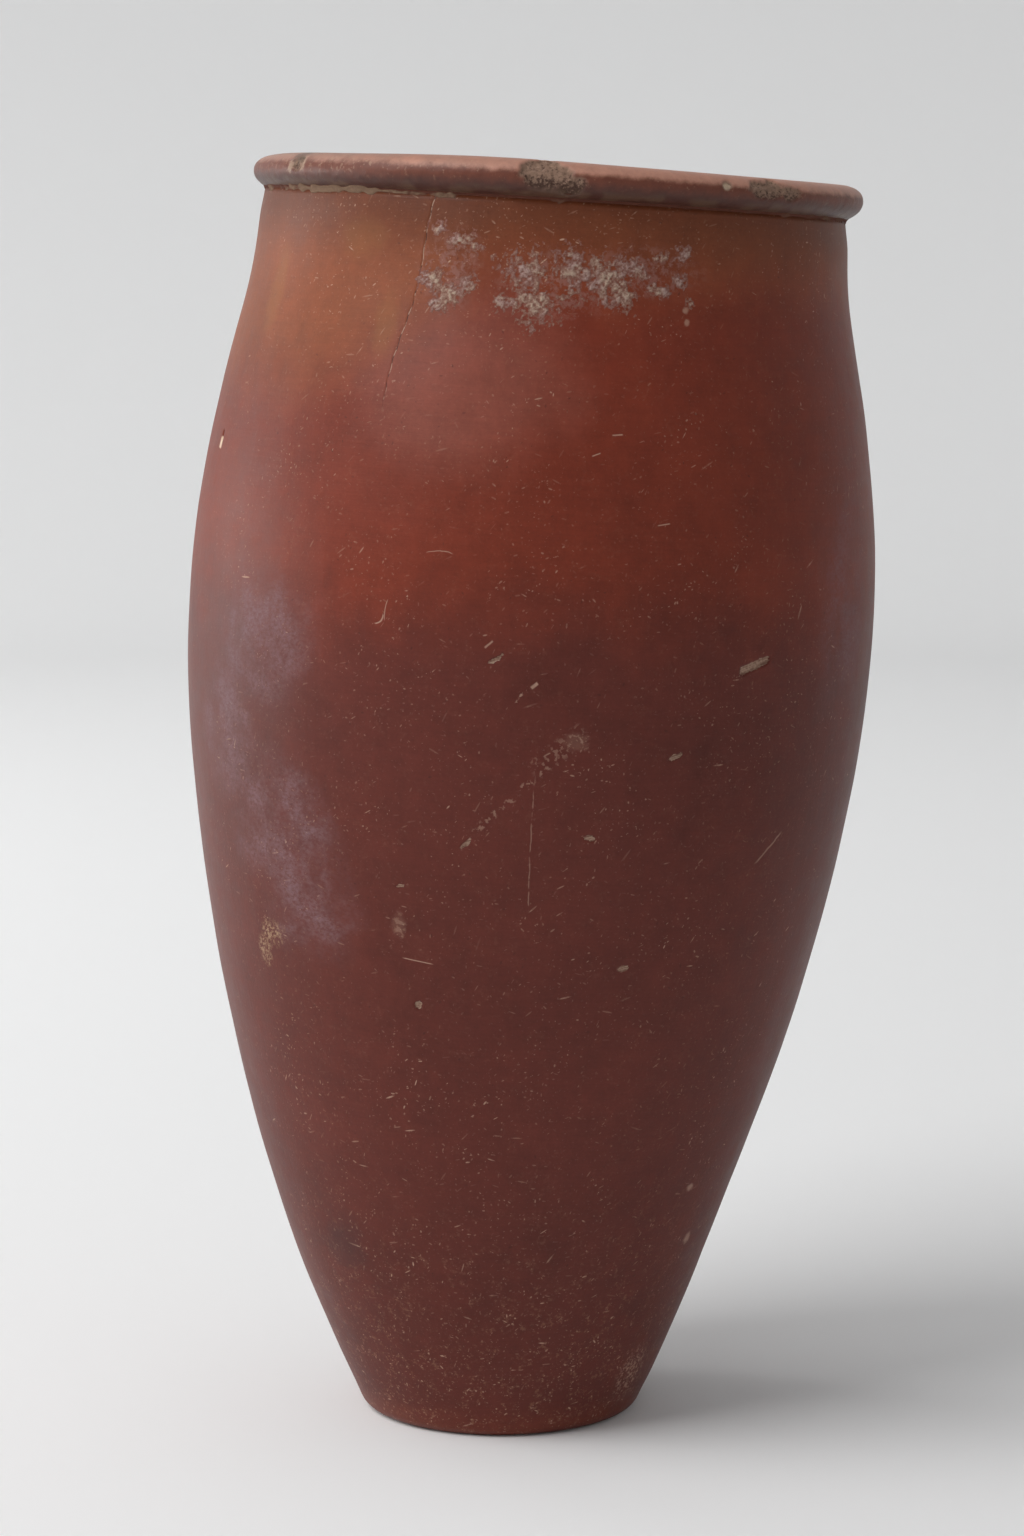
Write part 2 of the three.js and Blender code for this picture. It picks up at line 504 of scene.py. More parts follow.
CRACK_STEP = 0.16  # spacing of the extra lines of the mesh, along the crack
INNER_TOP = 286.5
FILLET_RADIUS, FILLET_HEIGHT = 12, 7
WIPE_DEPTH, WIPE_PITCH = 0.5, 6.5  # the potter's wiping marks inside
UNSLIPPED_TOP = 276  # the slip laps this far down inside
EDGE_WEAR = 0.2  # on the right of the foot


def hand_shape(points):
    """How far a hand-built wall stands proud of its outline: broad, middling and fine unevenness."""
    stretched = points * (1, 1, 0.35)
    waves = 0.34 * noise(points, 60, 3, 1) + 0.12 * noise(points, 21, 5, 2)
    return waves + 0.035 * noise(stretched, 7, 9, 1)


def void_cover(bearing, height, radius):
    """How far a place lies inside a void, from 0 to 1, and the depth there in millimetres."""
    cover = np.zeros(np.broadcast(bearing, height).shape)
    depth = np.zeros_like(cover)
    rough = 0.16 * noise(around(bearing, radius, height), 1.3, 15, 2)
    for a, h, half_length, half_width, slant, deep, straight in VOIDS:
        u, v = away_from(bearing, a) * radius, height - h
        c, s = math.cos(math.radians(slant)), math.sin(math.radians(slant))
        run, side = (u * c + v * s) / half_length, (v * c - u * s) / half_width
        narrowing = 1 - 0.45 * smooth((run - 0.45) / 0.6)
        if straight:
            reach = np.maximum(np.abs(run - 0.08 * side), np.abs(side - 0.25 * smooth(run)) / narrowing)
        else:
            reach = np.hypot(run, side) + 1.5 * rough
        inside = smooth((1.12 - reach - rough) / 0.3)
        cover = np.maximum(cover, inside)
        depth = np.maximum(depth, deep * inside)
    return cover, depth


def crack_bearing(height, sine):
    """Bearing of the hairline crack in degrees, for numbers or for wires, with their own sine."""
    wander = sine((height - 262) * 0.2) * 0.35 + sine(height * 1.3) * 0.09
    return (height - CRACK_FOOT) * CRACK_LEAN + CRACK_BEARING + wander


corner_turn = np.linspace(-math.pi / 2, -FOOT_SLOPE, 7, endpoint=False)
corner = np.stack(
    [
        UNDERSIDE_RADIUS + FOOT_CORNER * np.cos(corner_turn),
        FOOT_CORNER + FOOT_CORNER * np.sin(corner_turn),
    ],
    1,
)
underside = np.stack([np.linspace(3, UNDERSIDE_RADIUS, 10, endpoint=False), np.zeros(10)], 1)
outer_curve = np.vstack([wall_curve, [GROOVE]])
heights = evenly(outer_curve, OUTER_ROWS)[:, 1]
turn = np.linspace(-math.pi, math.pi, COLUMNS, endpoint=False)
for a, h, half_length, half_width, slant in [void[:5] for void in VOIDS]:
    c, s = math.cos(math.radians(slant)), abs(math.sin(math.radians(slant)))
    heights = with_fine_lines(heights, h, 1.2 * (half_length * s + half_width * c), FINE_STEP)
    reach = 1.2 * (half_length * c + half_width * s)
    turn = with_fine_lines(turn, math.radians(a), reach / radius_at(h), FINE_STEP / radius_at(h))
crack_ends = np.radians([crack_bearing(h, math.sin) for h in (CRACK_FOOT, CRACK_TOP)])
crack_reach = np.ptp(crack_ends) / 2 + 0.01
turn = with_fine_lines(turn, crack_ends.mean(), crack_reach, CRACK_STEP / radius_at(CRACK_TOP))
outer_face = np.stack([np.interp(heights, outer_curve[:, 1], outer_curve[:, 0]), heights], 1)
lap = np.array([(67.4, 291.0), (65.6, 288.5)])  # hidden under the rim coil
inner_heights = np.linspace(INNER_TOP, FLOOR + FILLET_HEIGHT, INNER_ROWS)
inner_face = np.stack([inner_radius_at(inner_heights), inner_heights], 1)
fillet_turn = np.linspace(0, -math.pi / 2, 7)[1:]
fillet = np.stack(
    [
        inner_face[-1, 0] - FILLET_RADIUS + FILLET_RADIUS * np.cos(fillet_turn),
        FLOOR + FILLET_HEIGHT + FILLET_HEIGHT * np.sin(fillet_turn),
    ],
    1,
)
floor_rows = np.stack([np.linspace(fillet[-1, 0], 2, 6)[1:], np.full(5, FLOOR)], 1)
profile = np.vstack([underside, corner, outer_face, lap, inner_face, fillet, floor_rows])
is_outer = np.zeros(len(profile), bool)
first_outer = len(underside) + len(corner)
is_outer[first_outer : first_outer + len(outer_face) - 1] = True
is_inner = np.arange(len(profile)) >= first_outer + len(outer_face) + len(lap)

bearing, height, radius = turned(turn, profile)
plain = around(bearing, radius, height)
fade = smooth((height - 2) / 8) * smooth((290 - height) / 6)
voids, void_depth = void_cover(bearing, height, radius)
voids *= is_outer[:, None]
off_crack = np.abs(bearing - np.radians(crack_bearing(height, np.sin))) * radius
crack_depth = CRACK_DEPTH * smooth((CRACK_HALF_WIDTH - off_crack) / 0.2) * smooth((height - CRACK_FOOT) / 6)
proud = hand_shape(plain) * fade - void_depth - crack_depth
level = np.zeros_like(height)
wiping = WIPE_DEPTH * noise(np.stack([level, level, height + 4 * np.sin(bearing)], -1), WIPE_PITCH, 21, 2)
wiping = wiping + WIPE_DEPTH * noise(plain, 34, 23, 2)
radius = radius + np.where(is_outer[:, None], proud, 0) + np.where(is_inner[:, None], wiping, 0)
worn_edge = EDGE_WEAR * smooth(height / 2.5) * smooth((8 - height) / 5.5)
radius = radius - worn_edge * np.clip(np.sin(bearing), 0, 1)
jar_wall = skin("jar_wall", around(bearing, radius, height), start=(0, 0, 0), end=(0, 0, FLOOR))
unslipped = is_inner[:, None] * smooth((UNSLIPPED_TOP + 5 * noise(plain, 30, 25, 2) - height) / 3)
keep_value(jar_wall, "void", voids)
keep_value(jar_wall, "unslipped", unslipped)

# ---------------------------------------------------------------- rim coil
RIM_COLUMNS = 900
LIP_ROWS = 74
CHIPS = [  # bearing in degrees, height, half width, half height, depth
    (-3.2, 296.9, 5.6, 2.9, 1.2),
    (1.5, 294.8, 3.4, 2.2, 0.5),
    (41.0, 297.2, 6.2, 2.3, 0.8),
    (46.0, 296.6, 3.6, 2.0, 0.5),
    (31.0, 297.4, 1.5, 1.1, 0.4),
    (-56.5, 297.8, 2.4, 1.6, 0.5),
    (128.0, 298.0, 6.0, 2.8, 0.9),
    (-139.0, 297.4, 4.0, 2.2, 0.7),
]
LIP_RADIUS = 72
LIP_SAG = 1.0  # the lip hangs this much lower from front to left
LIP_SHIFT = 0.5  # the lip stands a little further out on the side the jar leans to

rim_turn = np.linspace(-math.pi, math.pi, RIM_COLUMNS, endpoint=False)
lip = evenly(spline(LIP_OUTLINE), LIP_ROWS)
back = np.array([(64.4, 284.4), (66.0, 287.0), (67.4, 289.8)])  # hidden against the wall
rim_profile = np.vstack([lip, back])
bearing, height, radius = turned(rim_turn, rim_profile)
plain = around(bearing, radius, height)
on_lip = (np.arange(len(rim_profile)) < LIP_ROWS)[:, None] * smooth((height - GROOVE[1]) / 1.5)
chipped = np.zeros_like(radius)
for a, h, half_width, half_height, deep in CHIPS:
    reach = np.hypot(away_from(bearing, a) * LIP_RADIUS / half_width, (height - h) / half_height)
    reach = reach + 0.28 * noise(plain, 2.6, 41, 3)
    chipped = np.maximum(chipped, deep * smooth((1.15 - reach) / 0.45))
outward = np.clip((radius - 64.5) / 4, 0, 1)
crumbs = 0.34 * noise(plain, 1.5, 43, 3) * np.clip(chipped / 0.6, 0, 1)
worn = 0.10 * noise(plain, 9, 47, 2) + 0.05 * noise(plain, 1.6, 48, 2)
radius = radius + on_lip * (worn - (chipped - crumbs) * outward)
height = height - on_lip * (chipped - crumbs) * 0.55 * smooth((height - 296) / 3)
degrees = np.degrees(bearing)
sagging = smooth((-degrees - 5) / 45) * smooth((degrees + 170) / 60)
height = height - LIP_SAG * sagging * smooth((height - 292) / 5)
upright = around(bearing, radius, height)
upright[..., 0] += LIP_SHIFT * smooth((height - 291) / 4)
rim_coil = skin("rim", upright, closed_rows=True)
keep_value(rim_coil, "chipped", np.clip(chipped / 0.45, 0, 1))

# ---------------------------------------------------------------- soil in the groove
SOIL_COLUMNS, SOIL_ROWS = 900, 20
SOIL_LINE = 291.4
soil_turn = np.linspace(-math.pi, math.pi, SOIL_COLUMNS, endpoint=False)
soil_outline = [(69.2, 289.0), (69.0, 290.4), (69.0, 291.4), (69.7, 292.4), (70.6, 293.0)]
soil_curve = evenly(spline(soil_outline), SOIL_ROWS)
bearing, height, radius = turned(soil_turn, soil_curve)
plain = around(bearing, radius, height)
heaped = smooth((height - 289.6) / 1.2) * smooth((293.2 - height) / 1.0)
degrees = np.degrees(bearing)
plenty = 0.45 * smooth((degrees + 68) / 8) * smooth((-12 - degrees) / 16)
plenty = plenty + 0.16 * smooth((degrees - 52) / 16) + 0.2 * smooth((np.abs(degrees) - 100) / 20)
thick = plenty + 0.34 * noise(plain, 6, 61, 2) + 0.2 * noise(plain, 1.2, 67, 3)
off_line = np.abs(height - SOIL_LINE - 0.35 * noise(plain, 8, 69, 2))
thick = thick * smooth((0.85 + 0.5 * noise(plain, 2.2, 73, 2) - off_line) / 0.5)
proud = heaped * (0.42 * smooth(thick / 0.6) + 0.18) - 0.34
groove_soil = skin("soil_line", around(bearing, radius + proud, height))
keep_value(groove_soil, "thickness", smooth(thick / 0.6))

# ---------------------------------------------------------------- lime crusts
CRUST_STEP = 0.22
NECK_RADIUS = 71


def crust(name, patches, left, right, low, high, seed):
    """Broken granular crust on the neck. Each patch is a bearing, height, half width and half height.

    left, right, low and high bound it, in degrees and millimetres.
    """
    columns = int(math.radians(right - left) * NECK_RADIUS / CRUST_STEP)
    rows = int((high - low) / CRUST_STEP)
    bearing, height = np.meshgrid(
        np.radians(np.linspace(left, right, columns)), np.linspace(low, high, rows)
    )
    base = radius_at(height)
    plain = around(bearing, base, height)
    cover = np.full(bearing.shape, -1.0)
    for a, h, half_width, half_height in patches:
        reach = np.hypot((bearing - math.radians(a)) * base / half_width, (height - h) / half_height)
        cover = np.maximum(cover, 1 - reach)
    islands = cover + 0.40 * noise(plain, 5.0, seed, 4) + 0.42 * noise(plain, 1.4, seed + 3, 3) + 0.24
    grains = noise(plain, 0.5, seed + 7, 2)
    body = smooth(islands / 1.2)
    proud = 0.20 * body + 0.17 * grains * (0.4 + 0.6 * body) - 0.05 + 0.4 * np.minimum(islands, 0)
    base = base + hand_shape(plain) * smooth((290 - height) / 6)
    shown = proud > -0.08
    keep = shown[:-1, :-1] | shown[1:, :-1] | shown[:-1, 1:] | shown[1:, 1:]
    piece = skin(name, around(bearing, base + np.maximum(proud, -0.2), height), keep=keep, turns=False)
    keep_value(piece, "thickness", proud / 0.4)
    return piece


crust_front = crust(
    "lime_crust_main",
    [
        (-4.5, 275.0, 6.5, 5.5),
        (-2.0, 268.5, 5.5, 5.0),
        (3.5, 276.0, 7.0, 5.5),
        (9.0, 274.5, 6.0, 4.6),
        (12.0, 271.0, 5.5, 3.6),
        (15.0, 277.5, 5.5, 2.8),
        (19.5, 273.0, 4.2, 1.8),
        (20.0, 280.5, 3.0, 2.0),
        (24.0, 281.5, 2.2, 1.8),
        (23.0, 275.5, 2.4, 2.0),
        (25.5, 270.5, 2.0, 1.4),
        (-9.0, 268.5, 2.6, 2.2),
    ],
    -13,
    31,
    260,
    286,
    71,
)
crust_left = crust(
    "lime_crust_side",
    [
        (-22.0, 284.0, 2.4, 1.8),
        (-17.2, 281.6, 3.8, 2.4),
        (-14.5, 280.4, 2.6, 1.8),
        (-22.5, 273.0, 3.0, 2.6),
        (-18.0, 269.5, 3.6, 3.2),
        (-15.5, 272.0, 2.8, 2.6),
        (-20.5, 267.0, 2.4, 1.8),
    ],
    -28,
    -9,
    263,
    287.4,
    83,
)

# ---------------------------------------------------------------- slip on the wall
SLIP_ROUGHNESS = 0.46
RED = (0.160, 0.0255, 0.0110)
PURPLE = (0.106, 0.0210, 0.0135)
ORANGE = (0.225, 0.062, 0.022)
# The mauve colour below is the slip's own tone, made lighter as painted sheen.
MAUVE_AND_SHEEN = (0.220, 0.063, 0.043)
FOOT_RED = (0.21, 0.045, 0.022)
BLOOM = (0.205, 0.125, 0.138)
FILM = (0.27, 0.135, 0.115)
PALE_CLAY = (0.46, 0.29, 0.21)
VOID_CLAY = (0.19, 0.100, 0.070)
BARE_CLAY = (0.20, 0.085, 0.045)
PALE_BARE_CLAY = (0.27, 0.14, 0.08)
PALE_VOID_CLAY = (0.36, 0.235, 0.17)
OCHRE = (0.27, 0.105, 0.030)
GRIME = (0.045, 0.022, 0.022)
SCUFF_TAN = (0.36, 0.23, 0.13)
SMUDGE_TAN = (0.32, 0.165, 0.10)
DARK_SPECK = (0.035, 0.012, 0.009)
CRACK_DARK = (0.050, 0.018, 0.013)
CRACK_FILL = (0.40, 0.27, 0.20)
GRAIN_PALE = (0.62, 0.45, 0.32)

ink = Ink("burnished_slip")
broad = ink.noise(46, 2, seed=1.0)
ragged = ink.noise(14, 4, 0.6, seed=2.0)
mottle = ink.noise(5, 5, 0.6, seed=5.0)
drift = (broad - 0.5) * 26 + (ragged - 0.5) * 16
upper = ink.step(ink.height + drift, 186, 214)
# Painted sheen: on the left, the side the key light falls on, the orange of the neck reaches up to 30 mm
# further down; the orange band itself is the slip's own colour.
left = ink.step(ink.rightward, -0.1, -0.78)
orange_and_sheen = ink.step(ink.height + drift * 0.55 + left * 30, 264, 290)
colour = ink.mix(upper, PURPLE, RED)
# A mauve patch on the upper left of the body: partly the slip's own tone, partly painted sheen where the
# key light falls.
colour = ink.mix(ink.blot(-14, 250, 34, 26, 0.5, 16, 4.0) * 0.68, colour, MAUVE_AND_SHEEN)
colour = ink.mix(orange_and_sheen * 0.85, colour, ORANGE)
colour = ink.mix(ink.step(ink.height + (ragged - 0.5) * 14, 9, 0) * 0.4, colour, FOOT_RED)
colour = ink.scaled(colour, (mottle - 0.5) * 0.45 + (ragged - 0.5) * 0.35 + (broad - 0.5) * 0.4 + 1.0)

streak_up = ink.noise(1.0, 3, 0.6, at=ink.stretched(0.6, 0.6, 0.05), seed=6.0)
streak_round = ink.noise(1.0, 3, 0.7, at=ink.stretched(0.07, 0.07, 1.3), seed=7.0)
grain = ink.noise(0.6, 3, 0.6, seed=34.0)
streaked = (streak_up - 0.5) * 0.13 + (streak_round - 0.5) * 0.22 + (grain - 0.5) * 0.26
colour = ink.scaled(colour, streaked + 1.0)

ochre = most(
    ink.blot(-61, 268, 5, 13, 0.9, 5, 2.2),
    ink.blot(-38, 281, 9, 6, 0.9, 5, 2.4),
    ink.blot(-30, 262, 4, 9, 0.9, 4, 2.6),
)
colour = ink.mix(ochre * 0.32, colour, OCHRE)
# Painted shadow: the slip grows up to 40% darker from 273 mm up to the groove, standing in for the shadow
# the rim casts on the neck.
colour = ink.scaled(colour, ink.step(ink.height, 273, 290) * -0.40 + 1.0)

grime = ink.blot(-43.8, 48, 9, 9, 1.0, 5, 2.8)
colour = ink.mix(grime * 0.35, colour, GRIME)

bloom_place = most(
    ink.blot(-50, 190, 24, 20, 0.8, 12, 8.0),
    ink.blot(-60, 168, 17, 20, 0.8, 12, 8.5),
    ink.blot(-45, 148, 22, 20, 0.8, 12, 9.0),
    ink.blot(-38, 132, 17, 20, 0.8, 12, 9.5),
    ink.blot(62, 205, 16, 34, 0.9, 14, 9.8) * 0.7,
    ink.blot(118, 175, 24, 34, 0.9, 14, 10.0),
    ink.blot(-150, 140, 26, 30, 0.9, 14, 10.5),
)
cloudy = ink.step(ink.noise(8, 3, 0.6, seed=11.5), 0.3, 0.7)
wiped = ink.noise(1.0, 5, 0.75, at=ink.stretched(0.8, 0.8, 1.2), seed=11.0)
bloom = bloom_place * (cloudy * 0.8 + 0.2) * (ink.step(wiped, 0.32, 0.66) * 0.75 + 0.25)
colour = ink.mix(bloom * 0.7, colour, BLOOM)

film_place = most(
    ink.blot(1, 273, 18, 10, 0.8, 7, 12.0),
    ink.blot(17, 277, 17, 7, 0.8, 7, 12.2),
    ink.blot(-19, 275, 9, 12, 0.8, 7, 12.4),
)
film = film_place * ink.step(ink.noise(1.8, 5, 0.7, seed=12.6), 0.46, 0.6)
colour = ink.mix(film * 0.5, colour, FILM)
scuff = most(
    ink.blot(-48.5, 121.5, 6.0, 3.6, 1.1, 2.4, 12.8),
    ink.blot(-51.5, 117, 3.2, 5.4, 1.1, 2.4, 12.9),
)
scuff = scuff * ink.step(ink.noise(0.8, 4, 0.75, seed=12.7), 0.44, 0.6)
colour = ink.mix(scuff * 0.7, colour, SCUFF_TAN)

low_down = ink.step(ink.height, 78, 4)
near_rim = ink.step(ink.height, 258, 284)
dusty = low_down * 0.5 + near_rim * 0.2 + ink.step(ink.noise(22, 3, seed=12.0), 0.42, 0.66) * 0.4 + 0.34
dots = most(
    ink.flecks(1.6, 0.44, 0.28, 0.6, seed=1.0) * 0.7,
    ink.flecks(3.0, 0.75, 0.26, 0.6, 0.35, 1.3, seed=2.0),
    ink.flecks(6.0, 1.5, 0.26, 0.5, 0.4, 0.9, seed=3.0),
    ink.flecks(11.0, 2.2, 0.28, 0.55, 0.4, 0.9, seed=5.0),
    ink.step(ink.noise(0.8, 2, 0.55, seed=13.2) + low_down * 0.035, 0.69, 0.77) * 0.8,
)
clump = ink.step(ink.noise(4.0, 4, 0.65, seed=13.0), 0.46, 0.60)
flecks = dots * (clump * 0.65 + 0.35) * ink.step(dusty, 0.05, 0.95)
smudge = ink.step(ink.noise(1.1, 4, 0.7, seed=14.0), 0.48, 0.68) * clump * (low_down * 0.75 + 0.15)
colour = ink.mix(smudge * 0.45, colour, SMUDGE_TAN)
specks = ink.flecks(2.6, 0.6, 0.3, 0.5, seed=4.0) * ink.step(ink.noise(7, 2, seed=13.5), 0.45, 0.6)
colour = ink.mix(specks * 0.4, colour, DARK_SPECK)
colour = ink.mix(flecks * 0.88, colour, PALE_CLAY)

crack_line = ink.bearing * (180 / math.pi) - crack_bearing(ink.height, ink.sine)
crack_off = ink.calc("ABSOLUTE", crack_line * ink.radius * (math.pi / 180))
crack = ink.step(crack_off, 0.16, 0.05) * ink.step(ink.height, CRACK_FOOT, CRACK_FOOT + 8)
crack = crack * ink.step(ink.noise(2.2, 3, seed=15.0), 0.34, 0.44)
filled = ink.step(ink.noise(1.8, 3, seed=16.0) + ink.step(ink.height, 255, 285) * 0.07, 0.48, 0.58)
colour = ink.mix(crack * 0.8, colour, ink.mix(filled, CRACK_DARK, CRACK_FILL))

dotted = ink.step(ink.noise(1.1, 3, seed=20.0), 0.52, 0.6)
broken = ink.step(ink.noise(4, 3, seed=18.0), 0.40, 0.52)
scratches = most(
    ink.stroke(1.8, 149, 34, 0.26, 91.0, 0.4, 0.5, 17.0) * broken * 0.5,
    ink.stroke(-1.5, 161, 30, 1.3, 46.0, -0.6, 2.6, 19.0) * dotted * 0.5,
    ink.stroke(5.0, 171, 16, 4.2, 42.0, 0.0, 2.6, 19.5) * dotted * 0.4,
    ink.stroke(46.0, 148.5, 11, 0.45, 42.0, 0.0, 0.9, 21.0) * 0.6,
    ink.stroke(-15.4, 213.0, 6.4, 0.2, 2.0, 0.6, 0.7, 22.0) * 0.8,
    ink.stroke(-24.8, 197.6, 3.2, 0.34, 50.0, -0.8, 0.4, 22.3),
    ink.stroke(-23.6, 199.6, 5.0, 0.2, 84.0, 0.3, 0.3, 22.6) * 0.8,
    ink.stroke(-6.8, 193.9, 2.6, 0.4, 46.0, 0.0, 0.5, 24.2) * 0.8,
    ink.stroke(-1.0, 182.8, 5.4, 0.5, 52.0, 0.4, 1.2, 24.0) * dotted * 0.8,
    ink.stroke(0.6, 185.4, 2.0, 0.7, 42.0),
    ink.stroke(-17.0, 120.5, 7.6, 0.24, -6.0),
    ink.stroke(11.8, 241.1, 2.6, 0.3, 6.0),
    ink.stroke(8.4, 236.6, 2.2, 0.26, 22.0),
    ink.stroke(19.8, 222.0, 3.2, 0.26, 10.0),
    ink.stroke(-9.0, 148.9, 3.6, 0.5, 48.0, 0.0, 0.5, 24.5),
)
crumbs = ink.step(ink.noise(0.9, 3, 0.6, seed=32.5), 0.50, 0.6)
stains = most(
    ink.blot(7.6, 173.4, 4.2, 2.6, 1.3, 1.4, 26.0) * (dotted * 0.6 + 0.25),
    ink.blot(-20.4, 128.4, 2.4, 3.8, 0.9, 1.6, 27.0) * (dotted * 0.4 + 0.2),
    ink.blot(24.4, 269.0, 1.0, 1.0, 1.0, 1.0, 28.0),
    ink.blot(24.6, 266.4, 0.9, 1.0, 1.0, 1.0, 28.5),
    ink.blot(19.4, 121.2, 1.5, 0.9, 0.8, 1.0, 29.0),
    ink.blot(50.0, 63.0, 1.6, 1.4, 0.9, 1.2, 30.0),
    ink.blot(57.0, 48.0, 1.8, 2.0, 0.9, 1.2, 31.0),
    ink.blot(53.0, 13.0, 6.0, 9.0, 1.6, 1.3, 32.0) * crumbs,
)
colour = ink.mix(most(scratches * 0.65, stains * 0.5), colour, PALE_CLAY)

run, side = ink.along(VOIDS[0][0], VOIDS[0][1], VOIDS[0][4])
fibres = ink.noise(1.0, 2, at=ink.join(run * 0.12, side * 2.6, 0.0), seed=33.0)
grit = ink.noise(0.5, 2, seed=33.5)
void = ink.step(ink.kept("void") + (grit - 0.5) * 1.1, 0.38, 0.62)
grain_left = ink.stroke(-70.8, 232.1, 3.0, 1.7, 82.0)
in_void = ink.mix(ink.step(fibres * 0.7 + grit * 0.3, 0.4, 0.6), VOID_CLAY, PALE_VOID_CLAY)
colour = ink.mix(void, colour, in_void)
unslipped_at = ink.kept("unslipped")
bare = ink.scaled(ink.mix(mottle, BARE_CLAY, PALE_BARE_CLAY), grain + 0.5)
colour = ink.mix(unslipped_at, colour, bare)
colour = ink.mix(grain_left, colour, GRAIN_PALE)

relief = (
    (grain - 0.5) * 0.03
    + (mottle - 0.5) * 0.05
    + (streak_round - 0.5) * 0.03
    + (streak_up - 0.5) * 0.03
    + flecks * 0.03
    + scratches * -0.05
    + film * 0.05
    + void * (fibres + grit) * 0.15
)
roughness = (mottle - 0.5) * 0.16 + bloom * 0.15 + flecks * 0.3
roughness = roughness + most(void, unslipped_at) * 0.4 + SLIP_ROUGHNESS
jar_wall.data.materials.append(ink.finish(colour, roughness, ink.bump(relief)))

# ---------------------------------------------------------------- rim slip
RIM_ROUGHNESS = 0.46
# The crest colours are worn, dusty slip made paler still as a painted highlight on the top of the lip.
CREST_LEFT_WEAR_AND_HIGHLIGHT, CREST_RIGHT_WEAR_AND_HIGHLIGHT = (0.36, 0.19, 0.14), (0.42, 0.205, 0.145)
# The colour of the lip's underside is painted shade.
LIP_UNDER_PAINTED_SHADE, LIP_FACE = (0.066, 0.021, 0.014), (0.135, 0.037, 0.020)
CHIP_DARK, CHIP_PALE = (0.070, 0.033, 0.022), (0.27, 0.165, 0.115)
WEAR_PALE = (0.42, 0.27, 0.18)
STAIN_DARK, STAIN_PALE = (0.08, 0.065, 0.05), (0.50, 0.37, 0.26)
SOIL_SMEAR = (0.13, 0.075, 0.045)

ink = Ink("worn_rim")
chipped_at = ink.kept("chipped")
mottle = ink.noise(3, 5, 0.65, seed=1.0)
grit = ink.noise(0.8, 4, 0.7, seed=2.0)
left = ink.step(ink.rightward + (ink.noise(9, 2, seed=4.0) - 0.5), -0.2, -0.78)
# Painted highlight: the crest is much paler than the lip's face, partly worn and dusty slip, partly
# standing in for light catching the top of the lip.
crest = ink.mix(left, CREST_RIGHT_WEAR_AND_HIGHLIGHT, CREST_LEFT_WEAR_AND_HIGHLIGHT)
uneven_height = ink.height + (mottle - 0.5) * 2
# Painted shade: the lower part of the lip's face is darker than the upper part.
face = ink.mix(ink.step(uneven_height, 293.4, 296.4), LIP_UNDER_PAINTED_SHADE, LIP_FACE)
colour = ink.mix(ink.step(uneven_height, 296.6, 298.2), face, crest)
colour = ink.scaled(colour, (mottle - 0.5) * 0.6 + (grit - 0.5) * 0.3 + 1.0)
crumbly = ink.step(grit + ink.step(ink.height, 293.5, 297.5) * 0.2, 0.50, 0.72)
colour = ink.mix(chipped_at, colour, ink.mix(crumbly, CHIP_DARK, CHIP_PALE))
wear = ink.step(ink.noise(1.5, 4, 0.7, seed=3.0) + left * 0.05, 0.60, 0.67) * ink.step(ink.height, 293, 298)
colour = ink.mix(wear * 0.4, colour, WEAR_PALE)
dark_patch = ink.blot(-57, 298.2, 3.4, 2.0, 1.6, 1.0, 5.0)
pale_patch = most(
    ink.blot(-58.5, 296.0, 1.4, 1.6, 1.6, 0.8, 6.0) * 0.45,
    ink.blot(-54.5, 296.6, 1.4, 1.8, 1.6, 0.8, 7.0) * 0.45,
    ink.blot(31, 297, 1.5, 1.2, 0.8, 1.0, 8.0),
)
colour = ink.mix(dark_patch * 0.6, colour, STAIN_DARK)
colour = ink.mix(pale_patch, colour, STAIN_PALE)
smear = ink.step(ink.height + (mottle - 0.5) * 3, 294.4, 292.8)
smear = smear * ink.step(ink.noise(6, 3, seed=9.0), 0.42, 0.6)
colour = ink.mix(smear * 0.5, colour, SOIL_SMEAR)
relief = (grit - 0.5) * (chipped_at * 0.5 + 0.06) + (mottle - 0.5) * 0.08
roughness = chipped_at * 0.35 + (mottle - 0.5) * 0.2 + RIM_ROUGHNESS
rim_coil.data.materials.append(ink.finish(colour, roughness, ink.bump(relief), specular=0.4))

# ---------------------------------------------------------------- soil and lime
SOIL_PALE, SOIL_DARK = (0.175, 0.108, 0.070), (0.12, 0.065, 0.040)
GROOVE_SLIP = (0.092, 0.030, 0.019)
SOIL_ROUGHNESS = 0.95
LIME_PINK, LIME_TAN = (0.43, 0.31, 0.275), (0.47, 0.355, 0.27)
LIME_THIN = (0.19, 0.072, 0.052)
LIME_ROUGHNESS = 0.93

ink = Ink("groove_soil")
patchy = ink.noise(6, 4, 0.6, seed=1.0)
grit = ink.noise(0.7, 4, 0.7, seed=2.0)
to_right = ink.step(ink.rightward + (patchy - 0.5) * 1.2, -0.4, 0.2)
colour = ink.mix(to_right, SOIL_PALE, SOIL_DARK)
colour = ink.mix(ink.step(ink.kept("thickness"), 0.1, 0.8), GROOVE_SLIP, colour)
colour = ink.scaled(colour, (grit - 0.5) * 0.7 + (patchy - 0.5) * 0.5 + 1.0)
groove_soil.data.materials.append(ink.finish(colour, SOIL_ROUGHNESS, ink.bump((grit - 0.5) * 0.2)))

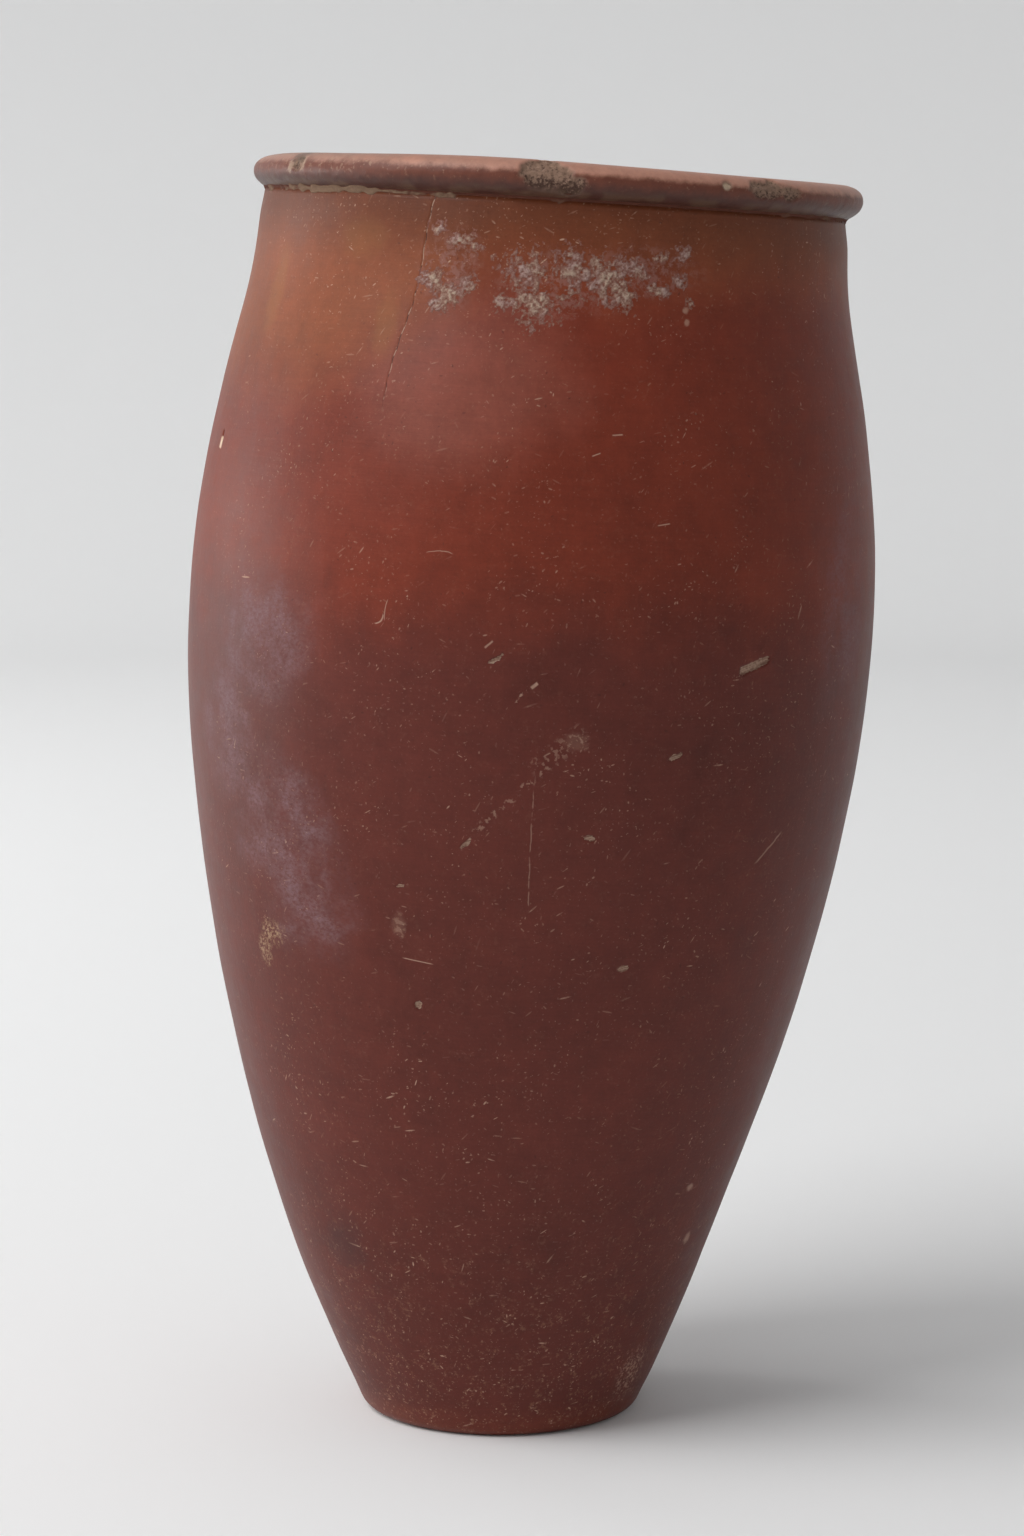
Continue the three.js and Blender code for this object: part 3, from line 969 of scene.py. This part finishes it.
ink = Ink("lime_crust")
tint = ink.noise(5, 3, seed=1.0)
grit = ink.noise(0.4, 3, 0.75, seed=2.0)
thickness = ink.kept("thickness") + (grit - 0.5) * 1.2
top = ink.mix(ink.step(tint, 0.42, 0.58), LIME_PINK, LIME_TAN)
colour = ink.mix(ink.step(thickness, -0.1, 0.9), LIME_THIN, top)
lime = ink.finish(colour, LIME_ROUGHNESS, ink.bump((grit - 0.5) * 0.25))
for piece in (crust_front, crust_left):
    piece.data.materials.append(lime)

# ---------------------------------------------------------------- what each piece stands for
PIECES = [
    (jar_wall, "slip", ["base_pad", "lower_wall", "belly_wall", "shoulder_wall", "neck_wall"]),
    (rim_coil, "rim_slip", ["rim_coil"]),
    (groove_soil, "soil", ["groove_soil"]),
    (crust_front, "lime", ["lime_crust_front"]),
    (crust_left, "lime", ["lime_crust_left"]),
]
for piece, slot, nodes in PIECES:
    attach(piece, "root")
    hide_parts(*nodes)

# ---------------------------------------------------------------- floor and light
FLOOR_REACH = 1.9  # metres of flat floor round the jar, before it sweeps up
SWEEP, SWEEP_TOP = 0.7, 2.6
FLOOR_SPOKES = 96
PAPER_ROUGHNESS = 0.9
# Painted shade: the paper grows darker higher up, standing in for light that falls off towards the top of
# the backdrop.
PAPER_PAINTED_FALLOFF = {"From Min": 0.02, "From Max": 0.5, "To Min": 0.89, "To Max": 0.76}  # paler low down
sweep_turn = np.linspace(0, math.pi / 2, 16)
sweep = [(0.0, 0.0), (FLOOR_REACH * 0.5, 0.0)]
sweep += [(FLOOR_REACH + SWEEP * math.sin(t), SWEEP * (1 - math.cos(t))) for t in sweep_turn]
sweep += [(FLOOR_REACH + SWEEP, SWEEP_TOP)]
floor_mesh = bpy.data.meshes.new("floor")
spin = np.linspace(0, 2 * math.pi, FLOOR_SPOKES, endpoint=False)
verts = [(r * math.cos(a), r * math.sin(a), z) for r, z in sweep[1:] for a in spin]
verts.append((0.0, 0.0, 0.0))
n = len(spin)
faces = [
    (i * n + j, i * n + (j + 1) % n, (i + 1) * n + (j + 1) % n, (i + 1) * n + j)
    for i in range(len(sweep) - 2)
    for j in range(n)
]
faces += [(len(verts) - 1, (j + 1) % n, j) for j in range(n)]
floor_mesh.from_pydata([(x, y, z + cad_low.z) for x, y, z in verts], [], faces)
floor_mesh.polygons.foreach_set("use_smooth", [True] * len(faces))
floor = bpy.data.objects.new("floor", floor_mesh)
bpy.context.scene.collection.objects.link(floor)
paper = bpy.data.materials.new("pale_paper")
paper.use_nodes = True
tree = paper.node_tree
place = tree.nodes.new("ShaderNodeTexCoord")
axes = tree.nodes.new("ShaderNodeSeparateXYZ")
shade = tree.nodes.new("ShaderNodeMapRange")
for name, value in PAPER_PAINTED_FALLOFF.items():
    shade.inputs[name].default_value = value
tree.links.new(place.outputs["Object"], axes.inputs[0])
tree.links.new(axes.outputs["Z"], shade.inputs["Value"])
tree.links.new(shade.outputs[0], tree.nodes["Principled BSDF"].inputs["Base Color"])
tree.nodes["Principled BSDF"].inputs["Roughness"].default_value = PAPER_ROUGHNESS
floor_mesh.materials.append(paper)


def softbox(name, place, size, power, target=(0, 0, 0.15)):
    """A soft rectangular lamp in metres and watts, facing its target and hidden from the camera."""
    light = bpy.data.lights.new(name, "AREA")
    light.shape = "RECTANGLE"
    light.size, light.size_y = size
    light.energy = power
    lamp = bpy.data.objects.new(name, light)
    lamp.location = place
    lamp.rotation_mode = "QUATERNION"
    lamp.rotation_quaternion = (Vector(target) - Vector(place)).to_track_quat("-Z", "Y")
    lamp.visible_camera = False
    bpy.context.scene.collection.objects.link(lamp)


softbox("key", (-1.17, -0.68, 1.44), (1.3, 1.3), 25.5)
softbox("low_left", (-1.7, 0.45, 0.32), (1.2, 0.5), 9)
softbox("overhead", (-0.2, 0.0, 2.3), (1.2, 1.2), 3.5)
softbox("backdrop_left", (-1.3, 0.9, 1.3), (1.2, 0.6), 8.5, target=(-0.8, 2.3, 0))
softbox("backdrop_right", (0.2, 1.0, 1.4), (1.2, 0.6), 2.4, target=(0.3, 2.3, 0))
ROOM_COLOUR, ROOM_STRENGTH = (0.97, 0.985, 1.0, 1), 0.225
world = bpy.data.worlds.new("studio")
world.use_nodes = True
background = world.node_tree.nodes["Background"]
background.inputs["Color"].default_value = ROOM_COLOUR
background.inputs["Strength"].default_value = ROOM_STRENGTH
bpy.context.scene.world = world
